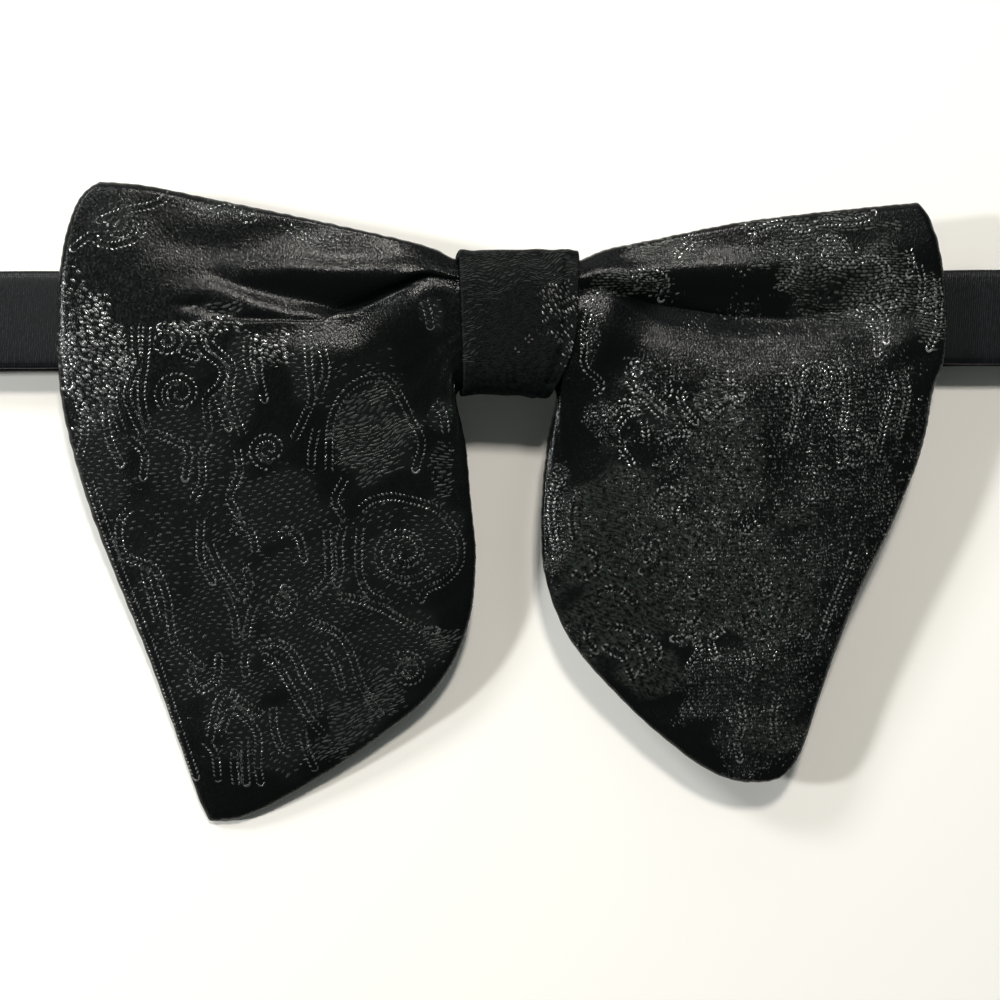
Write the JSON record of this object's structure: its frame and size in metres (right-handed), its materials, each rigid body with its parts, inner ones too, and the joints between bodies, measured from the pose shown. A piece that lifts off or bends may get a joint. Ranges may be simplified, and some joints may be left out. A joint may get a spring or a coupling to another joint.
{
  "type": "oversized bow tie",
  "caption": "Wide drooping ready-tied bow in black figured brocade with a wrapped knot, on a satin neck strap that closes in a loop.",
  "frame": {"origin": "on the surface that the bow lies on, under the middle of the knot, on the underside of the strap's lower run", "axes": "+X to the right of the bow's face along the strap, +Y up the face towards the wings' top edges, +Z out of the face, away from the surface"},
  "size_m": [0.2224, 0.1241, 0.0207],
  "materials": {
    "brocade": "black jacquard brocade: satin ground with raised thread floats in a paisley and scroll figure",
    "strap_satin": "blue-black satin ribbon with a fine slanting twill line",
    "clasp_metal": "black lacquered metal, half gloss"
  },
  "bodies": {
    "root": {"left_wing": "brocade", "right_wing": "brocade", "knot": "brocade", "neck_strap": "strap_satin", "clasp": "clasp_metal"}
  },
  "joints": []
}
